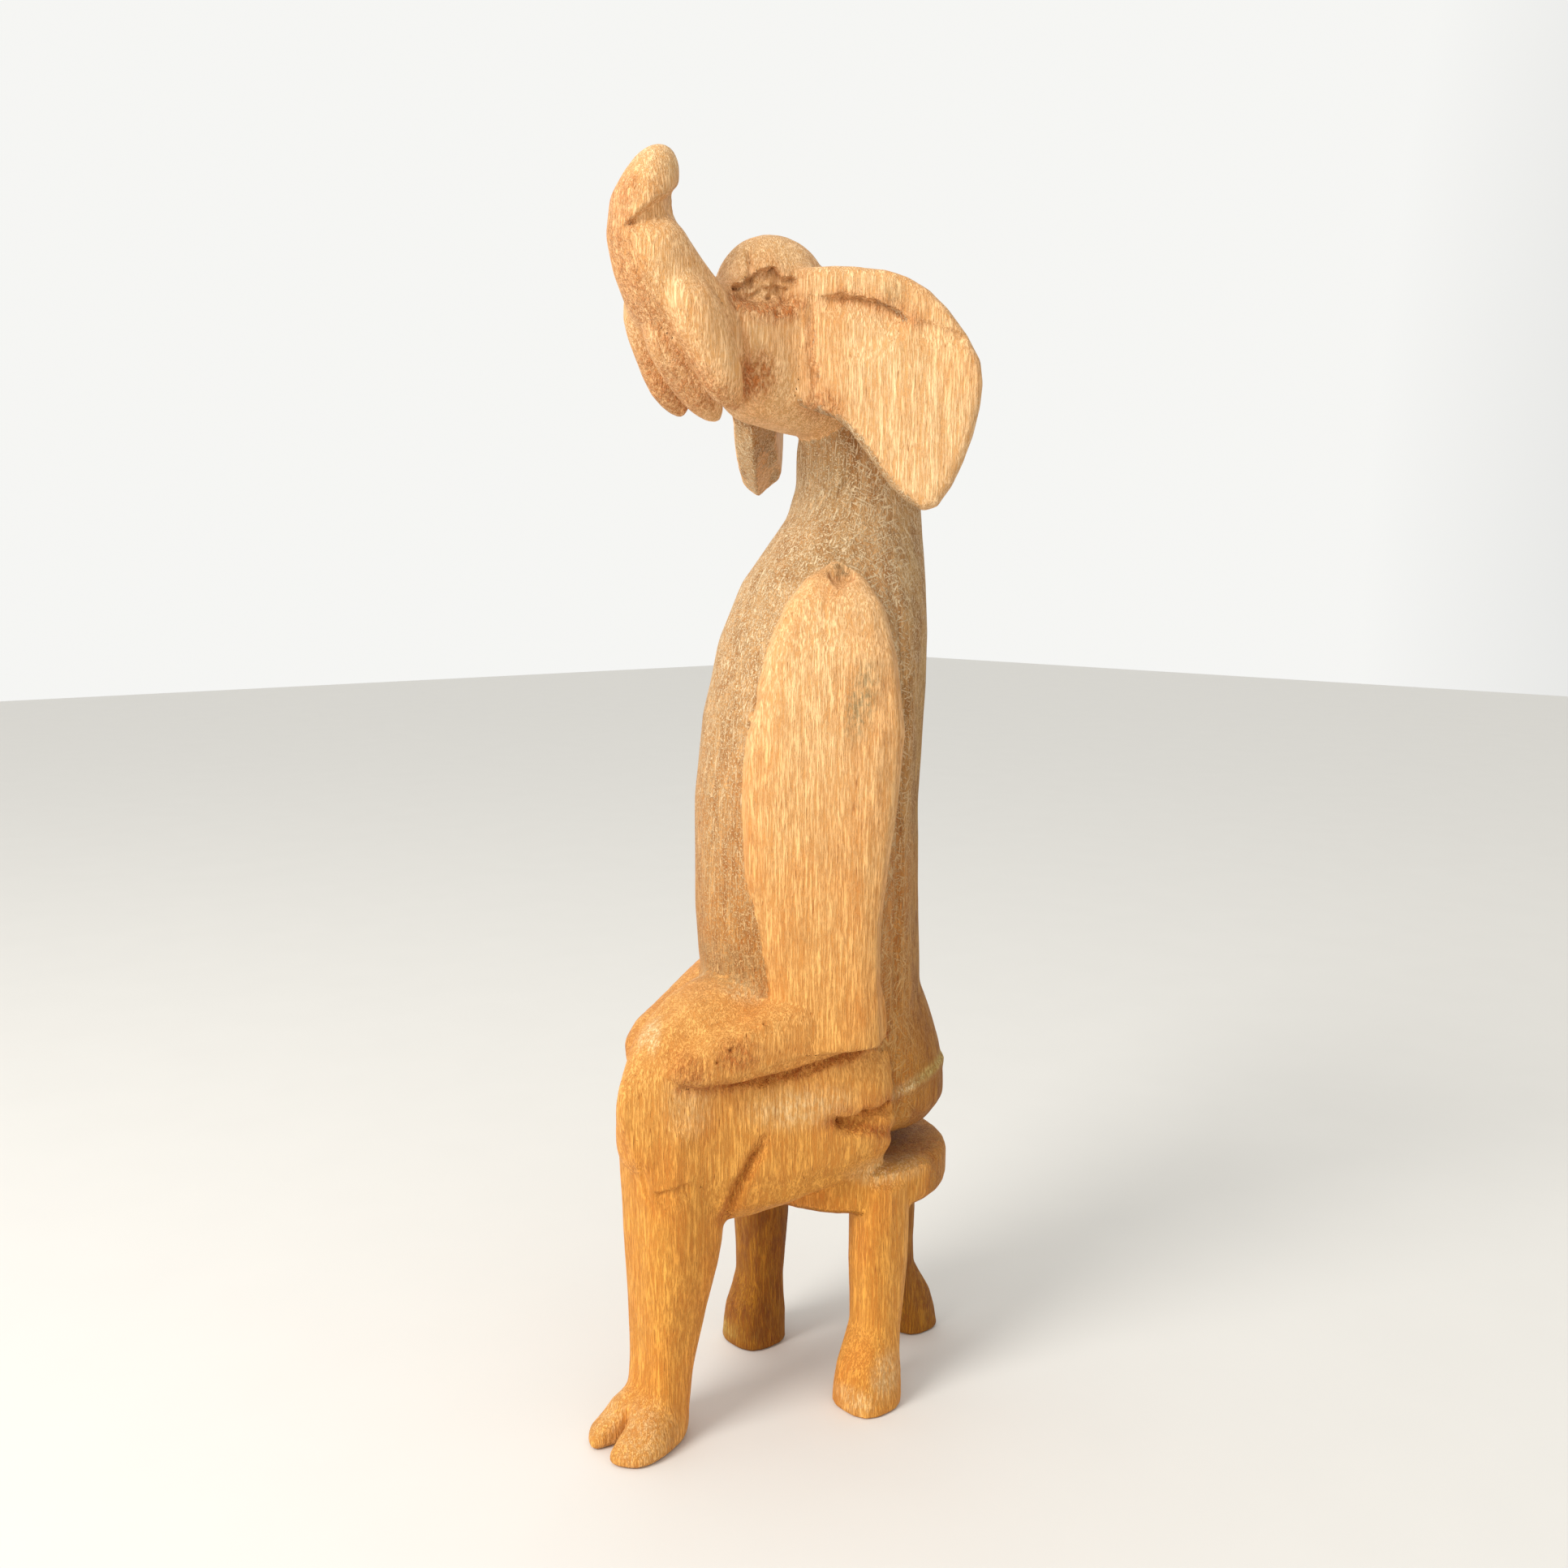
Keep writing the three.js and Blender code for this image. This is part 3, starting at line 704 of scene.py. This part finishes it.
PALE_PATCHES = [
    ((12, -52, 139), (0.3, -0.6, 0.7), (9.0, 6.0), 0.0, 0.45),
    ((6, -16, 292), FRONT_LEFT, (8.0, 16.0), 0.0, 0.25),
    ((2, -78, 128), (0.3, -0.7, 0.6), (3.5, 9.0), 20.0, 0.7),
    ((36, -12, 325), FRONT_LEFT, (16.0, 13.0), 0.0, 0.3),
    ((2, -70, 377), FRONT_LEFT, (12.0, 14.0), 0.0, 0.3),
    ((8, -88, 7), unit((0.5, -0.6, 0.6)), (15.0, 15.0), 0.0, 0.35),
    ((36, -14, 12), CAMERA_SIDE, (7.0, 10.0), 0.0, 0.5),
    ((27, -40, 103), LEFT, (22.0, 9.0), 0.0, 0.45),
    ((32, -8, 78), CAMERA_SIDE, (20.0, 7.0), 0.0, 0.5),
    ((18, -78, 108), FRONT_LEFT, (10.0, 14.0), 0.0, 0.3),
    ((31.5, -23, 5), CAMERA_SIDE, (9.0, 6.0), 0.0, 0.4),
]


def oval(points, centre, facing, radii, tilt=0.0):
    """1 at the middle of an oval patch seen against facing, and 0 outside it."""
    across, along, facing = patch_axes(facing, tilt)
    offset = points - np.asarray(centre, float)
    distance = np.hypot(offset @ across / radii[0], offset @ along / radii[1])
    near = 1.0 - smoothstep(PATCH_REACH, PATCH_END, np.abs(offset @ facing))
    return (1.0 - smoothstep(0.2, 1.0, distance)) * near


def stroke_mark(points, path, facing, width):
    """1 along a path and 0 beyond a width from it."""
    path = np.asarray(path, float)
    mark = np.zeros(len(points))
    inside = ((points > path.min(0) - width) & (points < path.max(0) + width)).all(1)
    distance, _, _, height = seen_along(path, facing, points[inside])
    mark[inside] = (1.0 - smoothstep(0.0, width, distance)) * near_surface(height, PATCH_REACH)
    return mark


def marks(points, strokes, patches):
    """Where any of some strokes and patches are, on the left and mirrored on the right."""
    total = np.zeros(len(points))
    for flip in (np.asarray, mirrored):
        for path, facing, width, strength in strokes:
            mark = stroke_mark(points, flip(path), flip(facing), width)
            total = np.maximum(total, strength * mark)
        for centre, facing, radii, tilt, strength in patches:
            mark = oval(points, flip(centre), flip(facing), radii, tilt)
            total = np.maximum(total, strength * mark)
    return total


def vertex_owner(shells):
    """The number of a piece that each vertex belongs to."""
    owner = np.zeros(len(shells.points), np.uint8)
    for side in range(4):
        owner[shells.quads[:, side]] = np.maximum(shells.behind, shells.ahead)
    return owner


def spread(shells, values, rounds):
    """A value for each vertex, softened over the skin."""
    values = values.astype(float)[:, None]
    for _ in range(rounds):
        values = shells.averaged(values, shells.skin, shells.on_surface)
    return values[:, 0]


def hollowness(shells, normals, rounds):
    """How far each vertex lies below the skin round it, in millimetres; negative on edges."""
    smooth = shells.points.copy()
    for _ in range(rounds):
        smooth = shells.averaged(smooth, shells.skin, shells.on_surface)
    return ((smooth - shells.points) * normals).sum(1)


def weathering_and_ear_shade(wood, shells, owner, normals):
    """Where the log's grey outer wood is left: the body and the seat where it isn't cut; and
    painted shade in that colour on the ears' faces towards the neck."""
    weathered_and_ear_shade = np.isin(owner, wood.numbers(WEATHERED_NODES)).astype(float)
    seat = owner == wood.numbers(["stool_seat"])[0]
    top_or_back = np.maximum(smoothstep(0.3, 0.7, np.abs(normals[:, 2])),
                             smoothstep(0.0, 14.0, shells.points[:, 1]))
    weathered_and_ear_shade[seat] *= top_or_back[seat]
    # painted shade: the ears' faces towards the neck take the weathered colour to darken them
    for name, inward in (("left_ear", mirrored(EAR_INWARD)), ("right_ear", EAR_INWARD)):
        ear = owner == wood.numbers([name])[0]
        weathered_and_ear_shade[ear] = 0.8 * smoothstep(0.2, 0.6, normals[ear] @ inward)
    return weathered_and_ear_shade


def painted_shade_places(wood, points, owner):
    """Where shade is painted in as a deeper brown: the two stool legs under the seat, the back,
    and the rear of the arms.
    """
    painted_shade = np.isin(owner, wood.numbers(SHADED_STOOL_LEGS)).astype(float)
    back = np.isin(owner, wood.numbers(["torso", "pelvis"]))
    arms = np.isin(owner, wood.numbers(["left_arm", "right_arm"]))
    rear, height = points[:, 1], points[:, 2]
    lower = 1.0 - 0.8 * smoothstep(170.0, 300.0, height)
    # painted shade: the back, turned from the light, is darkened more towards the bottom
    painted_shade[back] = (0.8 * smoothstep(-6.0, 10.0, rear) * lower)[back]
    # painted shade: the rear of the arms, turned from the light
    painted_shade[arms] = (0.4 * smoothstep(-25.0, -3.0, rear))[arms]
    return painted_shade


def tones(wood, shells, normals):
    """The values that the material reads at each vertex."""
    points = shells.points
    owner = vertex_owner(shells)
    rounds = int(2.5 / VOXEL)
    weathered_and_ear_shade = weathering_and_ear_shade(wood, shells, owner, normals)
    painted_shade = painted_shade_places(wood, points, owner)
    return {
        "weathered_and_ear_shade": spread(shells, weathered_and_ear_shade, rounds),
        "painted_shade": spread(shells, painted_shade, rounds),
        "rough_cut": marks(points, ROUGH_STROKES, ROUGH_PATCHES),
        "stain_and_neck_shadow": marks(points, [], STAINS_AND_NECK_SHADOW),
        "pale": marks(points, PALE_STROKES, PALE_PATCHES),
        "hollow": hollowness(shells, normals, int(2.0 / VOXEL)),
        "broad_hollow": hollowness(shells, normals, int(14.0 / VOXEL)),
    }


# ---------------------------------------------------------------- pieces

def make_piece(name, shells, quads, normals, values, material):
    """A Blender object, in metres in the frame, for one owner's net."""
    used, corners = np.unique(quads, return_inverse=True)
    corners = corners.reshape(-1)
    mesh = bpy.data.meshes.new(name)
    mesh.vertices.add(len(used))
    points = (shells.points[used] + FIGURE_ORIGIN) * MM
    mesh.vertices.foreach_set("co", points.astype(np.float32).ravel())
    mesh.loops.add(len(corners))
    mesh.loops.foreach_set("vertex_index", corners.astype(np.int32))
    mesh.polygons.add(len(quads))
    mesh.polygons.foreach_set("loop_start", np.arange(0, len(corners), 4, dtype=np.int32))
    mesh.update(calc_edges=True)
    mesh.shade_smooth()
    mesh.normals_split_custom_set_from_vertices(normals[used])
    for label, value in values.items():
        layer = mesh.attributes.new(label, "FLOAT", "POINT")
        layer.data.foreach_set("value", value[used].astype(np.float32))
    mesh.materials.append(material)
    piece = bpy.data.objects.new(name, mesh)
    bpy.context.scene.collection.objects.link(piece)
    return piece


# ---------------------------------------------------------------- wood material

class Nodes:
    """Short ways to add and join shader nodes."""

    def __init__(self, name):
        self.material = bpy.data.materials.new(name)
        self.material.use_nodes = True
        self.tree = self.material.node_tree
        self.tree.nodes.clear()

    def add(self, kind, settings=None, **inputs):
        node = self.tree.nodes.new(kind)
        for key, value in (settings or {}).items():
            setattr(node, key, value)
        for key, value in inputs.items():
            self.set(node, key.replace("_", " "), value)
        return node

    def set(self, node, key, value):
        socket = node.inputs[int(key) if key.isdigit() else key]
        if isinstance(value, bpy.types.NodeSocket):
            self.tree.links.new(value, socket)
        else:
            socket.default_value = value

    def math(self, operation, a, b):
        node = self.tree.nodes.new("ShaderNodeMath")
        node.operation = operation
        self.set(node, "0", a)
        self.set(node, "1", b)
        return node.outputs[0]

    def scaled(self, coordinates, size, rotation=(0.0, 0.0, 0.0)):
        """Coordinates divided by a size in millimetres along each axis, after a turn."""
        turned = self.add("ShaderNodeMapping", {"vector_type": "POINT"}, Vector=coordinates,
                          Rotation=[math.radians(angle) for angle in rotation])
        return self.add("ShaderNodeMapping", {"vector_type": "POINT"},
                        Vector=turned.outputs[0],
                        Scale=[1.0 / (value * MM) for value in size]).outputs[0]

    def noise(self, coordinates, size, detail=2.0, rough=0.5, rotation=(0.0, 0.0, 0.0)):
        node = self.add("ShaderNodeTexNoise", Vector=self.scaled(coordinates, size, rotation),
                        Scale=1.0, Detail=detail, Roughness=rough)
        return node.outputs["Fac"]

    def fade(self, value, low, high, to_low=0.0, to_high=1.0):
        """A value's range low to high mapped smoothly on another."""
        node = self.add("ShaderNodeMapRange", {"interpolation_type": "SMOOTHSTEP"})
        for key, number in zip("01234", (value, low, high, to_low, to_high)):
            self.set(node, key, number)
        return node.outputs[0]

    def mix(self, factor, a, b, blend="MIX"):
        node = self.tree.nodes.new("ShaderNodeMix")
        node.data_type = "RGBA"
        node.blend_type = blend
        node.clamp_factor = True
        for key, value in zip("067", (factor, a, b)):
            self.set(node, key, value)
        return node.outputs[2]

    def attribute(self, name):
        return self.add("ShaderNodeAttribute", {"attribute_name": name}).outputs["Fac"]


def colour(red, green, blue):
    """A colour from linear red, green and blue."""
    return (red, green, blue, 1.0)


FRESH_HIGH, FRESH_LOW = colour(0.95, 0.575, 0.26), colour(0.81, 0.355, 0.052)
OLD_HIGH, OLD_LOW = colour(0.66, 0.39, 0.165), colour(0.60, 0.22, 0.012)
COLOUR_HEIGHTS = (0.06, 0.29)  # the colour reddens downwards between these, in metres: partly the wood's tone, partly painted warm bounce light from below
SCRATCHED_HIGH, SCRATCHED_LOW = colour(0.93, 0.70, 0.42), colour(0.66, 0.30, 0.05)
TORN = colour(0.74, 0.44, 0.24)
# the stains' colour, also used for the painted shadow under the ear
STAIN_AND_NECK_SHADOW_TONE = colour(0.42, 0.27, 0.11)
PALE = colour(0.92, 0.66, 0.33)
# painted shade: multiplied in on the back, the rear of the arms and the stool legs under the seat
PAINTED_SHADE_BROWN = colour(0.64, 0.66, 0.30)
GRAIN_DARK, GRAIN_LIGHT = colour(0.80, 0.67, 0.50), colour(1.20, 1.26, 1.40)
PORES = colour(0.50, 0.33, 0.18)
# painted shade: colours multiplied into the hollows, small and broad
HOLLOW_PAINTED_SHADE, BROAD_PAINTED_SHADE = colour(0.42, 0.28, 0.18), colour(0.55, 0.40, 0.26)
# multiplied onto the raised edges to lighten them
RAISED_EDGE_TINT = colour(1.12, 1.22, 1.38)


def grain(nodes, place):
    """The fibres and growth rings, lengthwise along the log, from 0 to 1."""
    fine = nodes.noise(place, (0.3, 0.3, 4.0), 3.0, 0.6)
    fibres = nodes.noise(place, (0.6, 0.6, 9.0), 3.0, 0.6)
    rings = nodes.noise(place, (2.0, 2.0, 60.0), 2.0, 0.5)
    total = nodes.math("ADD", nodes.math("MULTIPLY", fine, 0.40),
                       nodes.math("MULTIPLY", fibres, 0.42))
    total = nodes.math("ADD", total, nodes.math("MULTIPLY", rings, 0.18))
    return nodes.fade(total, 0.42, 0.58)


def scratches(nodes, place):
    """Short rasp marks that run every way, from 0 to 1."""
    total = None
    for turn in ((30, 0, 0), (-38, 0, 20), (72, 0, 0), (-62, 30, 0), (6, 0, 0)):
        mark = nodes.noise(place, (0.5, 0.5, 9.0), 1.0, 0.5, turn)
        sharp = nodes.fade(mark, 0.60, 0.68)
        total = sharp if total is None else nodes.math("MAXIMUM", total, sharp)
    return total


def base_colour(nodes, place, high, weather_and_ear_shade, stain_and_neck_shadow, pale):
    """Fresh or weathered wood, redder towards the floor partly as painted warm bounce light, with
    its patches of other colours; the weathered colour also stands for painted shade on the ears.
    """
    fresh = nodes.mix(high, FRESH_LOW, FRESH_HIGH)
    old = nodes.mix(high, OLD_LOW, OLD_HIGH)
    wood = nodes.mix(weather_and_ear_shade, fresh, old)
    blotches = nodes.fade(nodes.noise(place, (15.0, 15.0, 26.0), 3.0, 0.55), 0.42, 0.68)
    wood = nodes.mix(nodes.math("MULTIPLY", blotches, 0.5), wood, colour(0.98, 0.80, 0.60),
                     "MULTIPLY")
    patches = nodes.fade(nodes.noise(place, (6.0, 6.0, 16.0), 4.0, 0.65), 0.46, 0.62)
    strength = nodes.fade(weather_and_ear_shade, 0.0, 1.0, 0.35, 0.9)
    wood = nodes.mix(nodes.math("MULTIPLY", patches, strength), wood, colour(0.74, 0.65, 0.54),
                     "MULTIPLY")
    wood = nodes.mix(stain_and_neck_shadow, wood, STAIN_AND_NECK_SHADOW_TONE)
    return nodes.mix(pale, wood, PALE)


def shade_hollows_and_lighten_edges(nodes, wood, hollow, broad):
    """Paints shade into the hollows, small and broad, and lightens the raised edges of a colour.
    """
    wood = nodes.mix(nodes.fade(hollow, 0.06, 0.55), wood, HOLLOW_PAINTED_SHADE, "MULTIPLY")
    wood = nodes.mix(nodes.fade(broad, 0.8, 6.0, 0.0, 0.35), wood, BROAD_PAINTED_SHADE, "MULTIPLY")
    raised_edges = nodes.fade(nodes.math("MULTIPLY", hollow, -1.0), 0.05, 0.35, 0.0, 0.5)
    return nodes.mix(raised_edges, wood, RAISED_EDGE_TINT, "MULTIPLY")


def tool_relief(nodes, lines, scratched, rough_cut, specks):
    """The bump's height: fibres, rasp marks, and coarse tearing where a cut is rough."""
    relief = nodes.math("ADD", nodes.math("MULTIPLY", lines, 0.5),
                        nodes.math("MULTIPLY", scratched, 0.9))
    torn = nodes.math("MULTIPLY", specks, nodes.fade(rough_cut, 0.0, 1.0, 0.5, 3.0))
    return nodes.math("ADD", relief, torn)


def carved_wood(name, roughness):
    """Bare carved wood: fresh light wood and weathered grey-brown, with what the tools have left,
    painted shade in the hollows, on the back, the ears and the stool legs, and lighter raised
    edges."""
    nodes = Nodes(name)
    place = nodes.add("ShaderNodeTexCoord").outputs["Object"]
    lines = grain(nodes, place)
    marks = scratches(nodes, place)
    specks = nodes.noise(place, (1.1, 1.1, 2.4), 3.0, 0.65)
    stipple = nodes.fade(specks, 0.40, 0.62, 0.4, 1.25)
    border = nodes.math("MULTIPLY", nodes.math("SUBTRACT", specks, 0.5), 1.2)
    # the weathered share also carries the painted shade on the ears
    weather_and_ear_shade = nodes.fade(nodes.math("ADD", nodes.attribute("weathered_and_ear_shade"), border), 0.3, 0.7)
    rough_cut = nodes.math("MULTIPLY", nodes.attribute("rough_cut"), stipple)
    stain_and_neck_shadow = nodes.math("MULTIPLY", nodes.attribute("stain_and_neck_shadow"), stipple)
    pale = nodes.math("MULTIPLY", nodes.attribute("pale"), stipple)

    height = nodes.add("ShaderNodeSeparateXYZ", Vector=place).outputs["Z"]
    # redder towards the floor: partly painted warm bounce light
    high = nodes.fade(height, *COLOUR_HEIGHTS)
    wood = base_colour(nodes, place, high, weather_and_ear_shade, stain_and_neck_shadow, pale)
    wood = nodes.mix(rough_cut, wood, TORN, "MULTIPLY")
    # painted shade: darkens the back, the rear of the arms and the two stool legs under the seat,
    # and the rasp marks are left out there
    wood = nodes.mix(nodes.attribute("painted_shade"), wood, PAINTED_SHADE_BROWN, "MULTIPLY")
    wood = nodes.mix(1.0, wood, nodes.mix(lines, GRAIN_DARK, GRAIN_LIGHT), "MULTIPLY")
    strength = nodes.math("MULTIPLY", marks, nodes.fade(weather_and_ear_shade, 0.0, 1.0, 0.15, 1.0))
    outside_painted_shade = nodes.math("SUBTRACT", 1.0, nodes.attribute("painted_shade"))
    strength = nodes.math("MULTIPLY", strength, outside_painted_shade)
    wood = nodes.mix(strength, wood, nodes.mix(high, SCRATCHED_LOW, SCRATCHED_HIGH))
    pores = nodes.fade(nodes.noise(place, (0.4, 0.4, 6.0), 2.0, 0.5), 0.64, 0.72)
    wood = nodes.mix(nodes.math("MULTIPLY", pores, 0.75), wood, PORES, "MULTIPLY")
    # painted shade in the hollows, and lighter raised edges
    wood = shade_hollows_and_lighten_edges(nodes, wood, nodes.attribute("hollow"), nodes.attribute("broad_hollow"))

    relief = tool_relief(nodes, lines, strength, rough_cut, specks)
    bump = nodes.add("ShaderNodeBump", Strength=0.8, Distance=0.0006, Height=relief)
    shader = nodes.add("ShaderNodeBsdfPrincipled", Normal=bump.outputs[0])
    nodes.set(shader, "Base Color", wood)
    nodes.set(shader, "Roughness", nodes.fade(lines, 0.0, 1.0, roughness + 0.08, roughness - 0.06))
    shader.inputs["Specular IOR Level"].default_value = 0.35
    output = nodes.add("ShaderNodeOutputMaterial")
    nodes.set(output, "Surface", shader.outputs[0])
    return nodes.material


# ---------------------------------------------------------------- studio

CAMERA_PLACE = (FIGURE_ORIGIN + (364.2, -331.3, 264.0)) * MM
CAMERA_TURN = (math.radians(82.03), 0.0, math.radians(50.0))
DARK_SIDE = unit((0.6, 0.8, 0.0))  # the studio is dimmer behind the figure's left shoulder
SENSOR = 36.0
FOCAL_LENGTH = 35.4
FLOOR_HALF_WIDTH = 3.0
FLOOR_SHADE = (0.78, 0.76, 0.72)
SKY = colour(0.92, 0.92, 0.90)
KEY_PLACE, KEY_TARGET = (0.05, -1.05, 0.95), (0.0, 0.0, 0.2)
KEY_SIZE, KEY_POWER, KEY_TINT = 0.6, 12.4, (1.0, 0.98, 0.95)


def plain(name, shade, roughness):
    """A surface of one shade with a faint mottle."""
    nodes = Nodes(name)
    place = nodes.add("ShaderNodeTexCoord").outputs["Object"]
    mottle = nodes.noise(place, (40.0, 40.0, 40.0), 3.0, 0.5)
    tone = nodes.mix(mottle, colour(*shade), colour(*(0.97 * value for value in shade)))
    shader = nodes.add("ShaderNodeBsdfPrincipled", Roughness=roughness)
    nodes.set(shader, "Base Color", tone)
    nodes.set(nodes.add("ShaderNodeOutputMaterial"), "Surface", shader.outputs[0])
    return nodes.material


def add_floor():
    size = FLOOR_HALF_WIDTH
    mesh = bpy.data.meshes.new("studio_floor")
    mesh.from_pydata([(-size, -size, 0), (size, -size, 0), (size, size, 0), (-size, size, 0)],
                     [], [(0, 1, 2, 3)])
    mesh.materials.append(plain("studio_floor", FLOOR_SHADE, 0.75))
    floor = bpy.data.objects.new("studio_floor", mesh)
    bpy.context.scene.collection.objects.link(floor)


def add_light(name, place, target, size, power, tint):
    light = bpy.data.lights.new(name, "AREA")
    light.shape = "DISK"
    light.size = size
    light.energy = power
    light.color = tint
    lamp = bpy.data.objects.new(name, light)
    lamp.location = place
    lamp.rotation_euler = (Vector(target) - Vector(place)).to_track_quat("-Z", "Y").to_euler()
    bpy.context.scene.collection.objects.link(lamp)


def add_camera():
    camera = bpy.data.cameras.new("camera")
    camera.sensor_width = SENSOR
    camera.lens = FOCAL_LENGTH
    camera.clip_start = 0.01
    rig = bpy.data.objects.new("camera", camera)
    rig.location = CAMERA_PLACE
    rig.rotation_euler = CAMERA_TURN
    bpy.context.scene.collection.objects.link(rig)
    bpy.context.scene.camera = rig


def light_studio():
    """A pale sky that dims towards one side, and a soft light from the front."""
    scene = bpy.context.scene
    scene.view_settings.view_transform = "Standard"
    world = bpy.data.worlds.new("studio")
    world.use_nodes = True
    sky = world.node_tree
    background = sky.nodes["Background"]
    background.inputs["Color"].default_value = SKY
    direction = sky.nodes.new("ShaderNodeTexCoord")
    towards = sky.nodes.new("ShaderNodeVectorMath")
    towards.operation = "DOT_PRODUCT"
    towards.inputs[1].default_value = DARK_SIDE
    fade = sky.nodes.new("ShaderNodeMapRange")
    for key, value in zip((1, 2, 3, 4), (0.4, 1.0, 1.0, 0.3)):
        fade.inputs[key].default_value = value
    sky.links.new(direction.outputs["Generated"], towards.inputs[0])
    sky.links.new(towards.outputs["Value"], fade.inputs[0])
    sky.links.new(fade.outputs[0], background.inputs["Strength"])
    scene.world = world
    add_light("key", KEY_PLACE, KEY_TARGET, KEY_SIZE, KEY_POWER, KEY_TINT)


# ---------------------------------------------------------------- the build

wood = Wood(frame["nodes"])
wood.soften()
carve(wood)
shells = Shells(wood)
shells.smooth(SKIN_ROUNDS)
tool_normals = shells.normals()
add_tool_marks(shells, tool_normals)
shells.bury_joints(tool_normals, JOINT_DEPTH)
skin_normals = shells.normals()
skin_values = tones(wood, shells, skin_normals)

materials = {
    "fresh_wood": carved_wood("fresh_wood", 0.55),
    "weathered_wood": carved_wood("weathered_wood", 0.62),
}
for number, node_name in enumerate(wood.names, 1):
    slot_name = "weathered_wood" if node_name in WEATHERED_NODES else "fresh_wood"
    piece = make_piece(node_name + "_carved", shells, shells.piece(number), skin_normals,
                       skin_values, materials[slot_name])
    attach(piece, "root")
    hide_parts(node_name)

add_floor()
light_studio()
add_camera()
